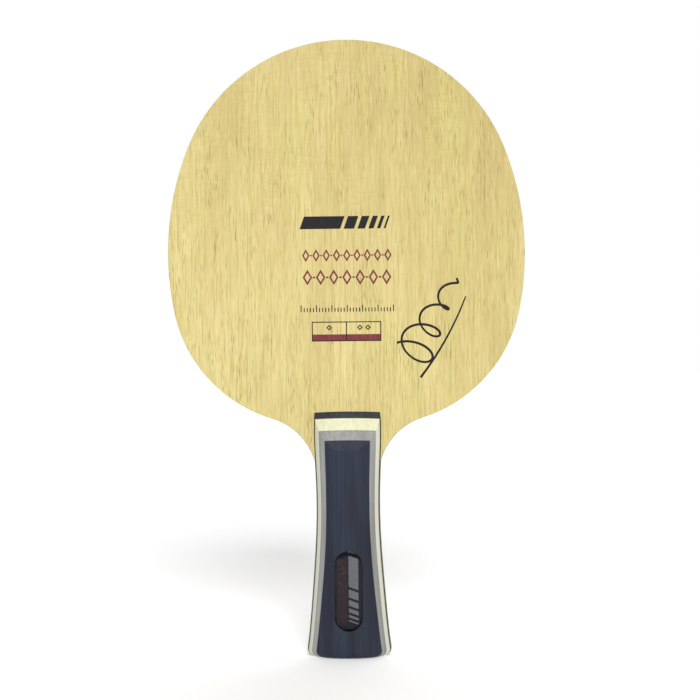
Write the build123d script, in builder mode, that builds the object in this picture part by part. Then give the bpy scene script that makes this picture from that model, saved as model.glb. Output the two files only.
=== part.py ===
"""Table tennis paddle: a bare 5+2 ply blade with a flared, laminated handle.

Frame: X runs across the blade, Z runs up the handle to the tip of the head and
Y runs through the thickness, with the front of the paddle facing -Y. The origin
is the middle of the butt end, so the paddle stands on it at Z = 0. All sizes
are in millimetres.
"""

from build123d import *
from math import asin, cos, degrees, pi, radians, sin, tan
import os

os.makedirs("parts", exist_ok=True)

# Head outline: a chain of tangent arcs from the tip to the neck, on each side
head_width = 150.0
head_length = 156.2  # from the top of the handle scales to the tip
crown_radius = 71.5  # over the tip
side_radius = 120.0  # along the widest part
shoulder_radius = 59.5  # from the side in towards the neck
side_turn = 12.0  # degrees that the side arc runs on below the widest point
neck_slope = 17.0  # degrees below level where the shoulder arc meets the neck arc
neck_inset = 0.6  # how far inside the waist of the handle the neck arc ends
neck_tail = 5.0  # straight end of the outline, buried in the tang
edge_round = 0.25  # sanded edge all round the head

# Lay-up of the blade, from the middle outwards
core_thickness = 3.3
inner_veneer_thickness = 0.6
carbon_thickness = 0.2
face_veneer_thickness = 0.55
core_strip_width = 50.0  # the middle one of the three edge-glued core strips

# Handle: one oval form through which the plies and the scales run flush
handle_length = 102.1
butt_width = 36.4
butt_thickness = 25.6
flare_width = 31.5
flare_thickness = 24.2
flare_height = 22.0
grip_width = 28.4
grip_thickness = 22.9
grip_height = 42.0
waist_width = 26.9
waist_thickness = 22.5
waist_height = 62.0
swell_width = 29.0
swell_thickness = 22.1
swell_height = 93.5
shoulder_width = 28.2
section_power = 2.2  # of the oval: 2 is an ellipse, more is squarer
section_points = 32  # round each section
butt_round = 2.6

# Scales: four laminated strips on each side, with a long bevel at the top
base_strip = 1.35
cream_strip = 2.5
grey_strip = 2.0
glue_bed = 0.1  # how deep the scales are let into the face veneers
bevel_angle = 26.4  # degrees between the bevel and the blade's face
bevel_bow = 260.0  # radius of the bevel's lower edge, bowed towards the head

# Badge: printed foil and a clear domed lens in a pocket in the front scale
badge_length = 33.0
badge_width = 11.5
badge_height = 28.0  # of its middle above the butt
badge_gap = 0.1  # all round the lens
pocket_lip = 0.5  # least height of the pocket's wall
adhesive_thickness = 0.15
foil_thickness = 0.2
lens_wall = 0.3  # straight side of the lens
lens_rise = 0.45  # height of its dome above that side
pocket_round = 0.15  # of its rim, less than the lip

blade_half = (
    core_thickness / 2
    + inner_veneer_thickness
    + carbon_thickness
    + face_veneer_thickness
)


def keep(piece, name):
    """Label a finished piece and write it to its own file."""
    piece.part.label = name
    export_step(piece.part, f"parts/{name}.step")


def oval(half_width, half_thickness):
    """Points round an oval section, spaced evenly by its angle."""
    points = []
    for step in range(section_points):
        turn = 2 * pi * step / section_points
        across = abs(cos(turn)) ** (2 / section_power)
        through = abs(sin(turn)) ** (2 / section_power)
        x = half_width * (across if cos(turn) > 0 else -across)
        y = half_thickness * (through if sin(turn) > 0 else -through)
        points.append((x, y))
    return points


# The whole handle as one solid: every ply and scale is a slice of it
handle_sections = [
    (0.0, butt_width, butt_thickness),
    (flare_height, flare_width, flare_thickness),
    (grip_height, grip_width, grip_thickness),
    (waist_height, waist_width, waist_thickness),
    (swell_height, swell_width, swell_thickness),
    (handle_length, shoulder_width, swell_thickness),
]
bevel_axis = Axis((0, 0, handle_length - bevel_bow), (0, 1, 0))
bevel_reach = butt_thickness  # well past the crown of the handle
bevel_run = (bevel_reach - blade_half) / tan(radians(bevel_angle))

with BuildPart() as handle_form:
    for height, width, thickness in handle_sections:
        with BuildSketch(Plane.XY.offset(height)):
            with BuildLine():
                Spline(*oval(width / 2, thickness / 2), periodic=True)
            make_face()
    loft()
    fillet(handle_form.edges().group_by(Axis.Z)[0], butt_round)
    # a disc with a conical rim on each side cuts both bevels
    with BuildSketch(Plane.YZ):
        with BuildLine():
            Polyline(
                (-bevel_reach, bevel_axis.position.Z),
                (-bevel_reach, handle_length - bevel_run),
                (-blade_half, handle_length),
                (blade_half, handle_length),
                (bevel_reach, handle_length - bevel_run),
                (bevel_reach, bevel_axis.position.Z),
                close=True,
            )
        make_face()
    revolve(axis=bevel_axis, mode=Mode.INTERSECT)

# The blade's outline, right half first and then mirrored
tip_height = handle_length + head_length
crown_sweep = degrees(asin((side_radius - head_width / 2) / (side_radius - crown_radius)))

with BuildSketch() as blade_outline:
    with BuildLine():
        crown = JernArc((0, tip_height), (1, 0), crown_radius, -crown_sweep)
        side = JernArc(crown @ 1, crown % 1, side_radius, crown_sweep - 90 - side_turn)
        shoulder = JernArc(side @ 1, side % 1, shoulder_radius, side_turn + neck_slope - 90)
        neck_x = waist_width / 2 - neck_inset
        neck_radius = ((shoulder @ 1).X - neck_x) / (1 - sin(radians(neck_slope)))
        neck = JernArc(shoulder @ 1, shoulder % 1, neck_radius, 90 - neck_slope)
        tail = Line(neck @ 1, neck @ 1 - (0, neck_tail))
        Line(tail @ 1, (0, (tail @ 1).Y))
        mirror(about=Plane.YZ)
    make_face()

with BuildPart() as tang:
    add(handle_form.part)
    split(bisect_by=Plane.XZ.offset(blade_half), keep=Keep.BOTTOM)
    split(bisect_by=Plane.XZ.offset(-blade_half), keep=Keep.TOP)

# The laminated blank, from which each ply is a slice
with BuildPart() as blade_blank:
    with BuildSketch(Plane.XZ.offset(-blade_half)):
        add(blade_outline.sketch)
    extrude(amount=2 * blade_half)
    faces_of_blade = blade_blank.faces().filter_by(Axis.Y)
    fillet(faces_of_blade.edges(), edge_round)
    add(tang.part)


def slice_of(blank, inner, outer):
    """The slice of a solid between two distances in front of the mid-plane."""
    with BuildPart() as piece:
        add(blank.part)
        split(bisect_by=Plane.XZ.offset(inner), keep=Keep.TOP)
        split(bisect_by=Plane.XZ.offset(outer), keep=Keep.BOTTOM)
    return piece


def mirrored(front):
    """The same piece on the back of the paddle."""
    with BuildPart() as back:
        mirror(front.part, about=Plane.XZ)
    return back


# Core: three strips glued edge to edge, the middle one running down the handle
core_half = core_thickness / 2
strip_half = core_strip_width / 2
core = slice_of(blade_blank, -core_half, core_half)

with BuildPart() as core_strip_left:
    add(core.part)
    split(bisect_by=Plane.YZ.offset(-strip_half), keep=Keep.BOTTOM)
keep(core_strip_left, "core_strip_left")

with BuildPart() as core_strip_centre:
    add(core.part)
    split(bisect_by=Plane.YZ.offset(-strip_half), keep=Keep.TOP)
    split(bisect_by=Plane.YZ.offset(strip_half), keep=Keep.BOTTOM)
keep(core_strip_centre, "core_strip_centre")

with BuildPart() as core_strip_right:
    add(core.part)
    split(bisect_by=Plane.YZ.offset(strip_half), keep=Keep.TOP)
keep(core_strip_right, "core_strip_right")

# Inner veneers and carbon plies, one of each on both sides of the core
veneer_level = core_half + inner_veneer_thickness
carbon_level = veneer_level + carbon_thickness
for name, inner, outer in (
    ("inner_veneer", core_half, veneer_level),
    ("carbon_ply", veneer_level, carbon_level),
):
    ply = slice_of(blade_blank, inner, outer)
    keep(ply, f"{name}_front")
    keep(mirrored(ply), f"{name}_back")

# Scales: three strips of even thickness, then the cap up to the crown
base_level = blade_half - glue_bed
cream_level = blade_half + base_strip
grey_level = cream_level + cream_strip
cap_level = grey_level + grey_strip
handle_base = slice_of(handle_form, base_level, cream_level)
keep(handle_base, "handle_base_front")
keep(mirrored(handle_base), "handle_base_back")
for name, inner, outer in (
    ("handle_cream", cream_level, grey_level),
    ("handle_grey", grey_level, cap_level),
):
    strip = slice_of(handle_form, inner, outer)
    keep(strip, f"{name}_front")
    keep(mirrored(strip), f"{name}_back")
handle_cap = slice_of(handle_form, cap_level, butt_thickness)
keep(mirrored(handle_cap), "handle_cap_back")

# Face veneers, let in under the scales by the depth of the glue bed
with BuildPart() as face_veneer:
    add(slice_of(blade_blank, carbon_level, blade_half).part)
    add(handle_base.part, mode=Mode.SUBTRACT)
keep(face_veneer, "face_veneer_front")
keep(mirrored(face_veneer), "face_veneer_back")

# What the badge's pocket takes out of the cap, down to the grey strip
with BuildSketch(Plane.XZ.offset(cap_level)) as pocket_outline:
    with Locations((0, badge_height)):
        SlotOverall(badge_length, badge_width, rotation=90)
with BuildPart() as pocket_core:
    extrude(pocket_outline.sketch, amount=butt_thickness)
    add(handle_cap.part, mode=Mode.INTERSECT)
lowest_rim = min(-corner.Y for corner in pocket_core.faces().sort_by(Axis.Y)[0].vertices())
floor_level = lowest_rim - pocket_lip

# The front cap has the pocket sunk in it, its rim slightly rounded
with BuildPart() as handle_cap_front:
    add(handle_cap.part)
    with BuildSketch(Plane.XZ.offset(floor_level)):
        with Locations((0, badge_height)):
            SlotOverall(badge_length, badge_width, rotation=90)
    extrude(amount=butt_thickness, mode=Mode.SUBTRACT)
    pocket_rim = handle_cap_front.edges(Select.LAST).filter_by(GeomType.BSPLINE)
    fillet(pocket_rim, pocket_round)
keep(handle_cap_front, "handle_cap_front")

# Badge: an adhesive film, the printed foil on it and the clear lens on top
foil_level = floor_level + adhesive_thickness
lens_level = foil_level + foil_thickness
badge_radius = badge_width / 2 - badge_gap
for name, inner, thickness in (
    ("badge_adhesive", floor_level, adhesive_thickness),
    ("badge_foil", foil_level, foil_thickness),
):
    with BuildPart() as film:
        with BuildSketch(Plane.XZ.offset(inner)):
            with Locations((0, badge_height)):
                SlotOverall(badge_length - 2 * badge_gap, 2 * badge_radius, rotation=90)
        extrude(amount=thickness)
    keep(film, name)

badge_straight = badge_length - badge_width
lens_end = Plane.XY.offset(badge_height + badge_straight / 2)
wall_level = lens_level + lens_wall
with BuildSketch(lens_end) as half_profile:
    with BuildLine():
        dome = EllipticalCenterArc(
            (0, -wall_level), badge_radius, lens_rise, start_angle=270, arc_size=90
        )
        Polyline(dome @ 1, (badge_radius, -lens_level), (0, -lens_level), dome @ 0)
    make_face()
with BuildPart() as badge_lens:
    revolve(half_profile.sketch, axis=Axis(lens_end.origin, (0, 1, 0)), revolution_arc=-180)
    extrude(half_profile.sketch, amount=-badge_straight / 2)
    mirror(about=Plane.YZ)
    mirror(about=Plane.XY.offset(badge_height))
keep(badge_lens, "badge_lens")
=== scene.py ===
"""Looks of a table tennis paddle: a bare laminated blade with a flared, striped handle.

X runs across the blade, Z up the handle to the tip, and the front faces -Y. Sizes are
given in millimetres and turned into metres where a mesh or a texture is made.
"""

import bmesh
import bpy
from math import cos, pi, radians, sin, tau
from mathutils import Matrix, Vector


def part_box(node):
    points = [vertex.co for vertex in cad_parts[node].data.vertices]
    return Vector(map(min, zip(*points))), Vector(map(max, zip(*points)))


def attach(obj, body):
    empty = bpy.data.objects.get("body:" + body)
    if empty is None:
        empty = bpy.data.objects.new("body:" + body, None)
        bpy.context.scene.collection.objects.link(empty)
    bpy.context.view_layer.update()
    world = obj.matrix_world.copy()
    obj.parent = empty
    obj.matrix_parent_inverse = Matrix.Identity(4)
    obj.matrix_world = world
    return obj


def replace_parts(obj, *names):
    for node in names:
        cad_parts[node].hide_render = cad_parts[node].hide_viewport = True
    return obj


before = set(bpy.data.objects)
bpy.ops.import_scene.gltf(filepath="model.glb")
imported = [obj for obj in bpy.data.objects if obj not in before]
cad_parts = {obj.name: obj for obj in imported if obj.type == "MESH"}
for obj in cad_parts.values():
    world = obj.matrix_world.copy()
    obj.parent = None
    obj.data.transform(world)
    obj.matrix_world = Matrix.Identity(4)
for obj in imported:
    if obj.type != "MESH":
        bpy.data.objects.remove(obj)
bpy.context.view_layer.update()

MM = 0.001
WELD = 0.0005  # corners of a new piece that are closer than this become one
FRONT = Vector((0, -1, 0))
UPRIGHT = Matrix.Rotation(radians(90), 4, "X")  # lays a flat shape in the plane of the face

# Camera: level, at a distance from a centre, turned round the handle and rolled slightly
VIEW_WIDTH = 295.5
VIEW_DISTANCE = 575.0
VIEW_CENTRE = (1.3, 0.0, 127.9)
VIEW_AZIMUTH = 1.5
VIEW_ROLL = -0.55

# Light from the walls, and all that reaches a surface facing the camera; 1 is full white
WALL_LIGHT = 0.36
STUDIO_LIGHT = 1.15

# Sides of the handle: how far a surface turns sideways before it takes their painted shade
# (strips) or darkening (face veneer)
SIDE_FACING = (0.35, 0.6)
SIDE_SHADE_SHARE = 0.7
SIDE_DARKENING_SHARE = 0.85
DARKENING_FADE = (98.0, 92.0)  # height over which the darkening comes in, downwards

# Prints on the bare face of the blade: heights are above the top of the handle
INK_THICKNESS = 0.02
BANNER_PLACE = (0.2, 79.4)
BANNER_SIZE = (37.2, 5.3)
BAR_SHARE = 0.46  # of the banner's length
STRIPE_WIDTHS = (4.4, 3.2, 2.2, 1.4, 0.8)
STRIPE_GAP = 1.4
SLANT = 0.36
CHAIN_WIDTH = 38.8
UPPER_CHAIN_HEIGHT = 65.6
LOWER_CHAIN_HEIGHT = 56.4
ROWS_SHIFT = 0.4  # chains and ticks stand this far to the right
TICK_HEIGHT = 43.3
TICK_COUNT = 30
TICK_WIDTH = 0.42
SHORT_TICK = 1.7
TALL_TICK = 2.8
GAUGE_HEIGHT = 33.65
GAUGE_SIZE = (29.2, 8.3)
GAUGE_LINE = 0.42
GAUGE_BAR = 2.5
PIP_PLACES = (-7.3, 5.6, 9.0)
PIP_RISE = 1.6
PIP_SIZE = 2.4
PIP_LINE = 0.45

# Flourish: its centre, and the direction in which its loops climb
FLOURISH_CENTRE = (34.2, 35.8)
FLOURISH_LEAN = 65.0
FLOURISH_SLANT = 0.12
LOOPS_START = -15.0
LOOPS_LENGTH = 38.0
LOOPS_TURNS = 3.6
LOOPS_SWING = 9.8  # half the width of the first loop
LOOPS_SHRINK = 0.84  # share of it that is lost by the last loop
LOOPS_OPENING = 0.6  # length of a loop along the climb, to its width
PEN_ANGLE = 0.6  # radians at which the pen is set down and held
PEN_HALF_WIDTH = 0.42
PEN_SWELL = 0.1
UNDERLINE_START = -20.0
UNDERLINE_LENGTH = 37.0
UNDERLINE_BOW = 6.0
UNDERLINE_HALF_WIDTH = 0.5
UNDERLINE_TAPER = 0.2

# Badge: the prints on its foil, placed across it, and the straight side of its lens
FOIL_INK = 0.01
BADGE_STRIPES_SIZE = (28.0, 4.0)
BADGE_STRIPES_PLACE = 2.1
BADGE_STRIP_SIZE = (3.9, 26.0)
BADGE_STRIP_PLACE = -2.5
LENS_WALL_SHARE = 0.4


def rgb(red, green, blue):
    """The reflectance that shows as this display colour, from 0 to 255, in the studio."""
    linear = [((c / 255 + 0.055) / 1.055) ** 2.4 / STUDIO_LIGHT for c in (red, green, blue)]
    return (*linear, 1.0)


class Finish:
    """A material in the making, with short ways to add the nodes that it is mixed from."""

    def __init__(self, name, roughness=0.5, specular=0.5):
        self.material = bpy.data.materials.new(name)
        self.material.use_nodes = True
        self.tree = self.material.node_tree
        self.shader = self.tree.nodes["Principled BSDF"]
        self.shader.inputs["Roughness"].default_value = roughness
        self.shader.inputs["Specular IOR Level"].default_value = specular
        surface = self.add("TexCoord")
        self.place = surface.outputs["Object"]
        self.facing = surface.outputs["Normal"]

    def add(self, kind, **settings):
        """Add a shader node of the given kind and settings."""
        node = self.tree.nodes.new("ShaderNode" + kind)
        for name, value in settings.items():
            setattr(node, name, value)
        return node

    def feed(self, sockets, *values):
        """Give each socket a plain value, or link it to another node's output."""
        for socket, value in zip(sockets, values):
            if isinstance(value, bpy.types.NodeSocket):
                self.tree.links.new(value, socket)
            else:
                socket.default_value = value

    def sized(self, size, shift=(0, 0, 0)):
        """Object coordinates counted in steps of the given size across, through and up."""
        node = self.add("Mapping")
        scale = [1 / (MM * step) for step in size]
        self.feed(node.inputs, self.place, shift, (0, 0, 0), scale)
        return node.outputs[0]

    def noise(self, size, detail=2.0, rough=0.5, shift=(0, 0, 0), warp=0.0):
        """Smooth noise whose features have the given size across, through and up."""
        node = self.add("TexNoise")
        self.feed(
            [node.inputs[n] for n in ("Vector", "Scale", "Detail", "Roughness", "Distortion")],
            self.sized(size, shift), 1.0, detail, rough, warp,
        )
        return node.outputs[0]

    def flecks(self, size, radius, shift=(0, 0, 0)):
        """Scattered long flecks: 1 in the middle of a fleck, 0 outside it."""
        node = self.add("TexVoronoi")
        self.feed([node.inputs["Vector"], node.inputs["Scale"]], self.sized(size, shift), 1.0)
        return self.spread(node.outputs["Distance"], 0.3 * radius, radius, 1.0, 0.0)

    def math(self, operation, first, second=0.0):
        """One step of arithmetic on values or outputs."""
        node = self.add("Math", operation=operation)
        self.feed(node.inputs, first, second)
        return node.outputs[0]

    def spread(self, value, low, high, at_low=0.0, at_high=1.0):
        """Carry a value from low..high smoothly over to at_low..at_high."""
        node = self.add("MapRange", interpolation_type="SMOOTHSTEP")
        self.feed(node.inputs, value, low, high, at_low, at_high)
        return node.outputs[0]

    def blend(self, share, first, second):
        """The first colour, with the second one laid over it by the given share."""
        node = self.add("Mix", data_type="RGBA")
        self.feed([node.inputs[0], node.inputs[6], node.inputs[7]], share, first, second)
        return node.outputs[2]

    def tinted(self, colour, value, low, high, share, tint):
        """Lay a tint over a colour, up to the given share as a value goes from low to high."""
        return self.blend(self.spread(value, low, high, 0.0, share), colour, tint)

    def axis(self, name, vector=None):
        """One coordinate of the place on the paddle, or of another vector."""
        node = self.add("SeparateXYZ")
        self.feed(node.inputs, vector or self.place)
        return node.outputs[name]

    def sides(self, share):
        """The given share where the surface faces sideways, and 0 where it faces the front."""
        sideways = self.math("ABSOLUTE", self.axis("X", self.facing))
        return self.spread(sideways, *SIDE_FACING, 0.0, share)

    def relief(self, height, depth):
        """Bump the surface by a height from 0 to 1, depth millimetres deep."""
        node = self.add("Bump")
        self.feed([node.inputs["Distance"], node.inputs["Height"]], depth * MM, height)
        self.feed([self.shader.inputs["Normal"]], node.outputs[0])

    def colour(self, value):
        self.feed([self.shader.inputs["Base Color"]], value)

    def roughness(self, value):
        self.feed([self.shader.inputs["Roughness"]], value)


# --- Woods ---------------------------------------------------------------------------


def turned(size, grain):
    """A size given across, through and along the grain, in the order of X, Y and Z."""
    across, through, along = size
    return (along, through, across) if grain == "X" else (across, through, along)


def wood(
    name, pale, deep, pore, grain="Z", streak=0.5, pores=0.5, roughness=0.5,
    joints=(), side_shade=None,
):
    """Straight-grained wood: broad tones, streaks, fine fibres and open pores.

    The glue lines lie at the given joints, and surfaces turned sideways get a painted shade in
    the tone given.
    """
    finish = Finish(name, roughness, 0.25)
    tone = finish.noise(turned((13, 13, 80), grain), 3.0, 0.55)
    streaks = finish.noise(turned((1.1, 1.1, 60), grain), 4.0, 0.65, (3, 7, 1))
    fibres = finish.noise(turned((0.2, 0.2, 8), grain), 2.0, 0.6, (9, 2, 5))
    colour = finish.tinted(pale, tone, 0.35, 0.65, 1.0, deep)
    colour = finish.tinted(colour, streaks, 0.4, 0.7, streak, pore)
    short = finish.flecks(turned((0.75, 0.75, 15), grain), 0.24)
    crowd = finish.noise(turned((7, 7, 30), grain), 2.0, 0.5, (5, 5, 5))
    shown = finish.math("MULTIPLY", short, finish.spread(crowd, 0.4, 0.65, 0.1, pores))
    colour = finish.blend(shown, colour, pore)
    depth = finish.math("ABSOLUTE", finish.axis("Y"))
    for level in joints:
        away = finish.math("ABSOLUTE", finish.math("SUBTRACT", depth, level))
        line = finish.spread(away, 0.03 * MM, 0.11 * MM, 0.75, 0.0)
        colour = finish.blend(line, colour, pore)
    # painted shade: the strips darken where they turn sideways, away from the light
    if side_shade:
        colour = finish.blend(finish.sides(SIDE_SHADE_SHARE), colour, side_shade)
    finish.colour(colour)
    finish.relief(finish.math("SUBTRACT", fibres, shown), 0.04)
    finish.roughness(finish.spread(fibres, 0.3, 0.7, roughness - 0.07, roughness + 0.07))
    return finish.material


def face_wood():
    """Pale yellow face veneer: fine streaks, short dark pores and a cross ripple."""
    finish = Finish("face_wood", 0.52, 0.25)
    pale = rgb(236, 220, 153)
    deep = rgb(208, 188, 121)
    tone = finish.spread(finish.noise((14, 14, 90), 3.0, 0.6), 0.3, 0.7, 0.0, 0.5)
    across = finish.spread(finish.axis("X"), -50 * MM, 80 * MM, 0.0, 0.35)
    rising = finish.spread(finish.axis("Z"), 130 * MM, 260 * MM, 0.0, 0.25)
    share = finish.math("ADD", tone, finish.math("ADD", across, rising))
    colour = finish.blend(share, pale, deep)
    green = finish.noise((9, 9, 50), 3.0, 0.6, (8, 1, 3))
    colour = finish.tinted(colour, green, 0.45, 0.7, 0.55, rgb(219, 211, 132))
    warm = finish.noise((5, 5, 40), 3.0, 0.6, (1, 8, 2))
    colour = finish.tinted(colour, warm, 0.52, 0.75, 0.4, rgb(232, 207, 146))
    streaks = finish.noise((0.8, 0.8, 26), 4.0, 0.75, (3, 7, 1))
    colour = finish.tinted(colour, streaks, 0.45, 0.7, 0.75, rgb(194, 172, 104))
    threads = finish.noise((0.42, 0.42, 9), 3.0, 0.7, (6, 3, 8))
    colour = finish.tinted(colour, threads, 0.48, 0.7, 0.55, rgb(186, 163, 96))
    bright = finish.noise((0.5, 0.5, 14), 3.0, 0.7, (1, 4, 9))
    colour = finish.tinted(colour, bright, 0.5, 0.75, 0.6, rgb(246, 233, 172))
    # the ripple lies across the grain, in patches, stronger towards the tip
    ripple = finish.noise((5, 5, 0.9), 2.0, 0.6, (2, 6, 4), 0.6)
    patches = finish.noise((22, 22, 36), 2.0, 0.5, (7, 3, 2))
    towards_tip = finish.spread(finish.axis("Z"), 140 * MM, 220 * MM, 0.15, 1.0)
    rippled = finish.math("MULTIPLY", finish.spread(patches, 0.38, 0.62), towards_tip)
    shade = finish.math("MULTIPLY", finish.spread(ripple, 0.42, 0.72, 0.0, 0.5), rippled)
    colour = finish.blend(shade, colour, rgb(204, 184, 116))
    short = finish.flecks((0.52, 0.52, 8), 0.32)
    long = finish.flecks((0.9, 0.9, 26), 0.2, (4, 4, 4))
    crowd = finish.noise((7, 7, 22), 3.0, 0.6, (5, 5, 5))
    shown = finish.spread(crowd, 0.42, 0.64, 0.1, 0.8)
    pores = finish.math("MULTIPLY", finish.math("MAXIMUM", short, long), shown)
    colour = finish.blend(pores, colour, rgb(140, 114, 58))
    # in the handle the veneer is made darker where it faces sideways, next to the dark strips
    fade_top, fade_foot = (height * MM for height in DARKENING_FADE)
    in_handle = finish.spread(finish.axis("Z"), fade_foot, fade_top, 1.0, 0.0)
    sideways_darkening = finish.math("MULTIPLY", finish.sides(SIDE_DARKENING_SHARE), in_handle)
    finish.colour(finish.blend(sideways_darkening, colour, rgb(30, 30, 34)))
    fibres = finish.noise((0.2, 0.2, 8), 2.0, 0.6, (9, 2, 5))
    finish.relief(finish.math("SUBTRACT", fibres, pores), 0.045)
    finish.roughness(finish.spread(fibres, 0.3, 0.7, 0.44, 0.6))
    return finish.material


def carbon():
    """Woven carbon cloth, seen as a black line round the blade."""
    finish = Finish("carbon", 0.38, 0.5)
    tows = finish.noise((0.5, 0.2, 0.5), 1.0, 0.5)
    finish.colour(finish.tinted(rgb(22, 22, 24), tows, 0.35, 0.65, 1.0, rgb(58, 58, 62)))
    finish.relief(tows, 0.03)
    return finish.material


def foil(name, dark, light, speck=0.3):
    """Printed film of the badge with a metallic speckle of the given size."""
    finish = Finish(name, 0.45, 0.05)
    speckle = finish.noise((speck, speck, speck), 3.0, 0.7)
    finish.colour(finish.tinted(dark, speckle, 0.42, 0.65, 1.0, light))
    finish.relief(speckle, 0.01)
    return finish.material


def clear_resin():
    """Clear casting resin with a slight smoky tint."""
    finish = Finish("clear_resin", 0.04, 0.2)
    finish.feed([finish.shader.inputs["Base Color"]], (0.72, 0.71, 0.74, 1))
    finish.feed([finish.shader.inputs["Transmission Weight"]], 1.0)
    finish.feed([finish.shader.inputs["IOR"]], 1.37)
    haze = finish.noise((2.5, 2.5, 2.5), 2.0, 0.5)
    finish.roughness(finish.spread(haze, 0.3, 0.7, 0.02, 0.06))
    return finish.material


def adhesive():
    """Hazy film that holds the badge in its pocket."""
    finish = Finish("adhesive_film", 0.6, 0.3)
    haze = finish.noise((1.5, 1.5, 1.5), 2.0, 0.5)
    finish.colour(finish.blend(haze, rgb(190, 188, 180), rgb(160, 158, 150)))
    finish.relief(haze, 0.01)
    return finish.material


def ink(name, colour, worn, roughness=0.5):
    """Printing ink that takes the fibres' relief and is thin and worn in streaks."""
    finish = Finish(name, roughness, 0.25)
    fibres = finish.noise((0.2, 0.2, 8), 2.0, 0.6, (9, 2, 5))
    streaks = finish.noise((0.6, 0.6, 12), 3.0, 0.65, (2, 2, 8))
    finish.colour(finish.tinted(colour, streaks, 0.45, 0.75, 0.55, worn))
    finish.relief(fibres, 0.03)
    return finish.material


# --- Pieces --------------------------------------------------------------------------


def keep(name, mesh, material, smooth=False):
    """Turn a finished bmesh into a piece that rides on the paddle."""
    bmesh.ops.remove_doubles(mesh, verts=mesh.verts, dist=WELD * MM)
    bmesh.ops.recalc_face_normals(mesh, faces=mesh.faces)
    for face in mesh.faces:
        face.smooth = smooth
    data = bpy.data.meshes.new(name)
    mesh.to_mesh(data)
    mesh.free()
    data.materials.append(material)
    piece = bpy.data.objects.new(name, data)
    bpy.context.scene.collection.objects.link(piece)
    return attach(piece, "root")


def plate(mesh, across, up, width, height, lean=0.0):
    """A flat rectangle about a point of the plane Y = 0, leaning to the right: its face."""
    shape = Matrix.Diagonal((width * MM, height * MM, 1, 1))
    lean_over = Matrix(((1, lean, 0, 0), (0, 1, 0, 0), (0, 0, 1, 0), (0, 0, 0, 1)))
    place = Matrix.Translation((across * MM, 0, up * MM)) @ UPRIGHT
    made = bmesh.ops.create_grid(
        mesh, x_segments=1, y_segments=1, size=0.5, matrix=place @ lean_over @ shape
    )
    return made["verts"][0].link_faces[0]


def hollow(mesh, face, line):
    """Leave only a line of the given width along the outline of a flat face."""
    bmesh.ops.inset_individual(mesh, faces=[face], thickness=line * MM, use_even_offset=True)
    bmesh.ops.delete(mesh, geom=[face], context="FACES")


def diamond(mesh, across, up, width, height, line):
    """A flat printed diamond outline of the given line width."""
    shape = Matrix.Diagonal((width / 2 * MM, height / 2 * MM, 1, 1))
    place = Matrix.Translation((across * MM, 0, up * MM)) @ UPRIGHT
    made = bmesh.ops.create_circle(
        mesh, cap_ends=True, segments=4, radius=1, matrix=place @ shape
    )
    hollow(mesh, made["verts"][0].link_faces[0], line)


def thicken(mesh, level, thickness=INK_THICKNESS):
    """Give the flat shapes of a print their thickness, forwards from the given level."""
    bmesh.ops.recalc_face_normals(mesh, faces=mesh.faces)
    raised = bmesh.ops.extrude_face_region(mesh, geom=list(mesh.faces), use_keep_orig=True)
    front = [part for part in raised["geom"] if isinstance(part, bmesh.types.BMVert)]
    bmesh.ops.translate(mesh, verts=front, vec=FRONT * thickness * MM)
    bmesh.ops.translate(mesh, verts=mesh.verts, vec=(0, level, 0))


face_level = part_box("face_veneer_front")[0].y
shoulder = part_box("handle_base_front")[1].z / MM

black_ink = ink("black_ink", rgb(20, 17, 22), rgb(50, 44, 42))
red_ink = ink("red_ink", rgb(124, 46, 58), rgb(160, 94, 80))


def bar_and_stripes():
    """A slanted bar that breaks up into thinner and thinner stripes, about the origin."""
    mesh = bmesh.new()
    length, height = BANNER_SIZE
    bar = BAR_SHARE * length
    plate(mesh, (bar - length) / 2, 0, bar, height, SLANT)
    across = bar - length / 2
    for stripe in STRIPE_WIDTHS:
        across += STRIPE_GAP + stripe / 2
        plate(mesh, across, 0, stripe, height, SLANT)
        across += stripe / 2
    return mesh


def banner():
    """The bar and stripes at the head of the prints."""
    mesh = bar_and_stripes()
    across, height = BANNER_PLACE
    bmesh.ops.translate(mesh, verts=mesh.verts, vec=(across * MM, 0, (shoulder + height) * MM))
    thicken(mesh, face_level)
    return keep("print_banner", mesh, black_ink)


def chain(name, height, size, count, line):
    """A row of open diamonds with short dashes between them."""
    mesh = bmesh.new()
    step = CHAIN_WIDTH / count
    for place in range(count):
        across = (place + 0.5) * step - CHAIN_WIDTH / 2 + ROWS_SHIFT
        diamond(mesh, across, shoulder + height, 0.72 * step, size, line)
        if place < count - 1:
            plate(mesh, across + step / 2, shoulder + height, 0.18 * step, line)
    thicken(mesh, face_level)
    return keep(name, mesh, red_ink)


def ticks():
    """A fine row of upright ticks, every fifth one taller."""
    mesh = bmesh.new()
    foot = shoulder + TICK_HEIGHT - TALL_TICK / 2
    for place in range(TICK_COUNT + 1):
        across = (place / TICK_COUNT - 0.5) * CHAIN_WIDTH + ROWS_SHIFT
        tall = TALL_TICK if place % 5 == 0 else SHORT_TICK
        plate(mesh, across, foot + tall / 2, TICK_WIDTH, tall)
    thicken(mesh, face_level)
    return keep("print_ticks", mesh, black_ink)


def gauge():
    """A box of two cells with a pip in the first, two in the second and a red bar in each."""
    width, height = GAUGE_SIZE
    middle = shoulder + GAUGE_HEIGHT
    box = bmesh.new()
    hollow(box, plate(box, 0, middle, width, height), GAUGE_LINE)
    plate(box, 0, middle, GAUGE_LINE, height - 2 * GAUGE_LINE)
    for across in PIP_PLACES:
        diamond(box, across, middle + PIP_RISE, PIP_SIZE, PIP_SIZE, PIP_LINE)
    thicken(box, face_level)
    keep("print_gauge", box, black_ink)
    bar = bmesh.new()
    cell = (width - 3 * GAUGE_LINE) / 2
    bar_height = middle - height / 2 + GAUGE_LINE + GAUGE_BAR / 2
    for side in (-1, 1):
        plate(bar, side * (cell + GAUGE_LINE) / 2, bar_height, cell, GAUGE_BAR)
    thicken(bar, face_level)
    keep("print_gauge_bar", bar, red_ink)


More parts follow.
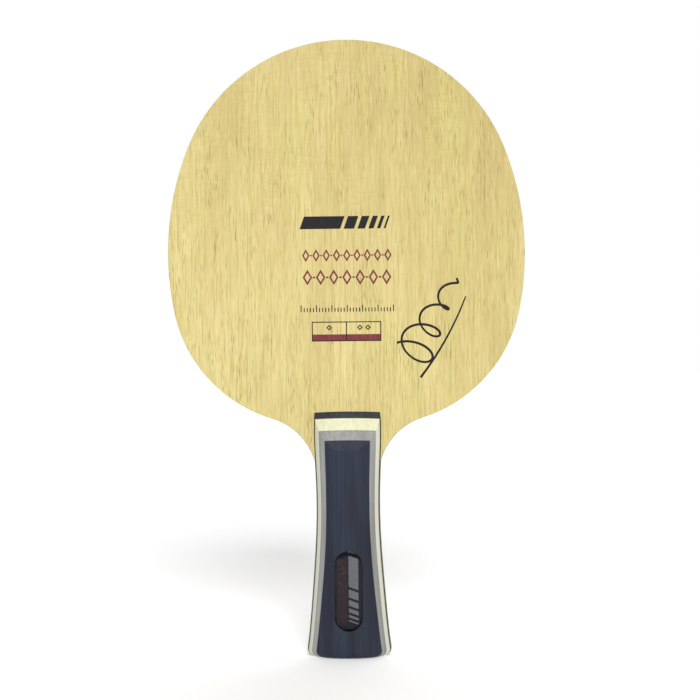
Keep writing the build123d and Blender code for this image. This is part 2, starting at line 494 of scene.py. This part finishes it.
def pen_stroke(mesh, points):
    """A round pen line through points of (across, up, half width), flattened to the ink."""
    curve = bpy.data.curves.new("pen_line", "CURVE")
    curve.dimensions = "3D"
    curve.bevel_depth = MM
    curve.bevel_resolution = 2
    curve.use_fill_caps = True
    spline = curve.splines.new("POLY")
    spline.points.add(len(points) - 1)
    for point, (across, up, half_width) in zip(spline.points, points):
        point.co = (across * MM, up * MM, 0, 1)
        point.radius = half_width
    holder = bpy.data.objects.new("pen_line", curve)
    line = bpy.data.meshes.new_from_object(holder)
    bpy.data.objects.remove(holder)
    line.transform(Matrix.Diagonal((1, 1, 2 * INK_THICKNESS, 1)))
    mesh.from_mesh(line)
    bpy.data.meshes.remove(line)


def flourish():
    """Loops of a broad pen that climb and shrink to the right, with a long line under them."""
    lean = radians(FLOURISH_LEAN)

    def placed(along, aside, half_width):
        across = along * cos(lean) - aside * sin(lean)
        up = along * sin(lean) + aside * cos(lean)
        return across + FLOURISH_SLANT * up, up, half_width

    loops = []
    steps = 220
    for step in range(steps + 1):
        share = step / steps
        turn = tau * LOOPS_TURNS * share + PEN_ANGLE
        swing = LOOPS_SWING * (1 - LOOPS_SHRINK * share)
        climb = LOOPS_LENGTH * share**1.1 + LOOPS_START
        half_width = PEN_HALF_WIDTH + PEN_SWELL * abs(sin(turn / 2 + PEN_ANGLE))
        along = climb + LOOPS_OPENING * swing * sin(turn)
        loops.append(placed(along, swing * cos(turn), half_width))
    underline = []
    steps = 30
    for step in range(steps + 1):
        share = step / steps
        along = UNDERLINE_LENGTH * share + UNDERLINE_START
        aside = UNDERLINE_BOW * (share - 0.45) ** 2 - LOOPS_SWING
        half_width = UNDERLINE_HALF_WIDTH - UNDERLINE_TAPER * share
        underline.append(placed(along, aside, half_width))
    mesh = bmesh.new()
    pen_stroke(mesh, loops)
    pen_stroke(mesh, underline)
    across, height = FLOURISH_CENTRE
    centre = Matrix.Translation((across * MM, face_level, (shoulder + height) * MM))
    bmesh.ops.transform(mesh, matrix=centre @ UPRIGHT, verts=mesh.verts)
    return keep("pen_flourish", mesh, black_ink, smooth=True)


banner()
chain("print_chain_upper", UPPER_CHAIN_HEIGHT, size=5.4, count=9, line=0.62)
chain("print_chain_lower", LOWER_CHAIN_HEIGHT, size=6.6, count=7, line=0.7)
ticks()
gauge()
flourish()


def badge_prints():
    """The bar and stripes in silver beside a plum strip, on the foil under the lens."""
    low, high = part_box("badge_foil")
    middle = (low.z + high.z) / 2
    length, height = BADGE_STRIPES_SIZE
    stripes = bar_and_stripes()
    shrink = Matrix.Diagonal((length / BANNER_SIZE[0], 1, height / BANNER_SIZE[1], 1))
    downwards = Matrix.Rotation(radians(90), 4, "Y")
    place = Matrix.Translation((BADGE_STRIPES_PLACE * MM, 0, middle))
    bmesh.ops.transform(stripes, matrix=place @ downwards @ shrink, verts=stripes.verts)
    thicken(stripes, low.y, FOIL_INK)
    silver = foil("silver_foil", rgb(142, 148, 152), rgb(168, 174, 178))
    keep("badge_stripes", stripes, silver)
    strip = bmesh.new()
    plate(strip, BADGE_STRIP_PLACE, middle / MM, *BADGE_STRIP_SIZE)
    thicken(strip, low.y, FOIL_INK)
    plum = foil("plum_foil", rgb(16, 4, 20), rgb(96, 50, 74), 0.5)
    keep("badge_strip", strip, plum)


def badge_lens():
    """The clear domed lens, cast on the foil so that no air is left between them."""
    low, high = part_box("badge_lens")
    foil_low, foil_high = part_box("badge_foil")
    bed = (foil_low.y + foil_high.y) / 2
    radius = (high.x - low.x) / 2
    straight = high.z - low.z - 2 * radius
    top = (high.z + low.z) / 2 + straight / 2
    wall = LENS_WALL_SHARE * (high.y - low.y)
    rise = high.y - low.y - wall
    points = [(0, bed), (radius, bed)]
    steps = 16
    for step in range(steps + 1):
        turn = pi / 2 * step / steps
        points.append((radius * cos(turn), high.y - wall - rise * sin(turn)))
    mesh = bmesh.new()
    profile = [mesh.verts.new((x, y, top)) for x, y in points]
    near_side = [mesh.edges.new(pair) for pair in zip(profile, profile[1:])]
    # the profile spins half way round for the end, and both sides are drawn to the middle
    spun = bmesh.ops.spin(
        mesh, geom=profile + near_side, cent=(0, 0, top), axis=Vector((0, 1, 0)), angle=-pi,
        steps=32, use_merge=False,
    )
    far_side = [part for part in spun["geom_last"] if isinstance(part, bmesh.types.BMEdge)]
    drawn = bmesh.ops.extrude_edge_only(mesh, edges=far_side + near_side)
    verts = [part for part in drawn["geom"] if isinstance(part, bmesh.types.BMVert)]
    bmesh.ops.translate(mesh, verts=verts, vec=(0, 0, -straight / 2))
    bmesh.ops.mirror(
        mesh, geom=list(mesh.verts) + list(mesh.edges) + list(mesh.faces), axis="Z",
        matrix=Matrix.Translation((0, 0, straight / 2 - top)), merge_dist=2 * WELD * MM,
    )
    piece = keep("badge_dome", mesh, clear_resin(), smooth=True)
    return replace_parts(piece, "badge_lens")


badge_prints()
badge_lens()

# --- Finishes of the CAD pieces --------------------------------------------------------


def joints_of(*nodes):
    """How far the glued faces of these strips lie from the middle of the blade."""
    return sorted({round(abs(corner.y), 6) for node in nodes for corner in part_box(node)})


glued = joints_of("handle_cream_front", "handle_grey_front")
core = wood("core_wood", rgb(240, 228, 198), rgb(226, 210, 172), rgb(186, 164, 120))
finishes = {
    "core_strip_left": core,
    "core_strip_centre": core,
    "core_strip_right": core,
    "inner_veneer": wood(
        "inner_veneer_wood", rgb(224, 204, 162), rgb(206, 182, 136), rgb(150, 122, 80), "X"
    ),
    "carbon_ply": carbon(),
    "face_veneer": face_wood(),
    "handle_base": wood(
        "dark_strip_wood", rgb(56, 58, 66), rgb(46, 47, 54), rgb(16, 16, 20),
        joints=glued, side_shade=rgb(14, 14, 18),
    ),
    "handle_cream": wood(
        "cream_strip_wood", rgb(243, 243, 208), rgb(234, 234, 194), rgb(176, 172, 132),
        streak=0.2, pores=0.25, joints=glued, side_shade=rgb(217, 218, 210),
    ),
    "handle_grey": wood(
        "grey_strip_wood", rgb(172, 171, 168), rgb(150, 149, 146), rgb(104, 102, 98),
        streak=0.35, pores=0.5, joints=glued,
    ),
    "handle_cap": wood(
        "navy_strip_wood", rgb(46, 54, 72), rgb(36, 40, 54), rgb(18, 20, 30), streak=0.45
    ),
    "badge_adhesive": adhesive(),
    "badge_foil": foil("badge_foil_film", rgb(8, 6, 22), rgb(30, 24, 50)),
}
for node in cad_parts.values():
    family = node.name.removesuffix("_front").removesuffix("_back")
    for slot in node.material_slots:
        slot.material = finishes.get(family, slot.material)

# --- Floor, light and camera -------------------------------------------------------------


def floor():
    """A round white table top, far wider than the view."""
    mesh = bmesh.new()
    bmesh.ops.create_circle(mesh, cap_ends=True, segments=96, radius=6.0)
    data = bpy.data.meshes.new("floor")
    mesh.to_mesh(data)
    mesh.free()
    finish = Finish("floor_paper", 0.9, 0.1)
    tooth = finish.noise((3, 3, 3), 2.0, 0.5)
    finish.colour(finish.blend(tooth, (0.97, 0.97, 0.97, 1), (0.95, 0.95, 0.95, 1)))
    # a table lit from below, so that it stays white up to the horizon
    finish.feed([finish.shader.inputs["Emission Color"]], (1, 1, 1, 1))
    finish.feed([finish.shader.inputs["Emission Strength"]], 0.2)
    data.materials.append(finish.material)
    piece = bpy.data.objects.new("floor", data)
    bpy.context.scene.collection.objects.link(piece)


def sun(name, direction, strength, angle):
    """A large soft lamp so far off that it lights floor and paddle evenly."""
    light = bpy.data.lights.new(name, "SUN")
    light.energy = strength
    light.angle = radians(angle)
    lamp = bpy.data.objects.new(name, light)
    bpy.context.scene.collection.objects.link(lamp)
    lamp.rotation_euler = (-Vector(direction)).to_track_quat("-Z", "Y").to_euler()


def studio():
    """Even white surroundings, a soft main light in front and a weaker one above."""
    scene = bpy.context.scene
    scene.view_settings.view_transform = "Standard"
    world = bpy.data.worlds.new("studio")
    world.use_nodes = True
    nodes = world.node_tree.nodes
    background = nodes["Background"]
    background.inputs["Color"].default_value = (1, 1, 1, 1)
    # the walls look white, and give the paddle rather less light than that
    seen = nodes.new("ShaderNodeLightPath")
    level = nodes.new("ShaderNodeMapRange")
    level.inputs["To Min"].default_value = WALL_LIGHT
    level.inputs["To Max"].default_value = 1.0
    world.node_tree.links.new(seen.outputs["Is Camera Ray"], level.inputs["Value"])
    world.node_tree.links.new(level.outputs[0], background.inputs["Strength"])
    scene.world = world
    sun("main_light", (0.14, -0.85, 0.5), 2.0, 24)
    sun("top_light", (0.1, 0.5, 1.0), 0.9, 40)
    floor()


def camera():
    """The camera, aimed square at its centre from its azimuth and then rolled."""
    data = bpy.data.cameras.new("camera")
    data.sensor_width = 36
    data.lens = data.sensor_width * VIEW_DISTANCE / VIEW_WIDTH
    holder = bpy.data.objects.new("camera", data)
    bpy.context.scene.collection.objects.link(holder)
    turn = radians(VIEW_AZIMUTH)
    centre = Vector(VIEW_CENTRE) * MM
    back = Vector((sin(turn), -cos(turn), 0))
    holder.location = centre + back * VIEW_DISTANCE * MM
    look = (-back).to_track_quat("-Z", "Y").to_matrix().to_4x4()
    roll = Matrix.Rotation(radians(VIEW_ROLL), 4, "Z")
    holder.rotation_euler = (look @ roll).to_euler()
    data.clip_start = 0.01
    data.clip_end = 50
    bpy.context.scene.camera = holder


studio()
camera()
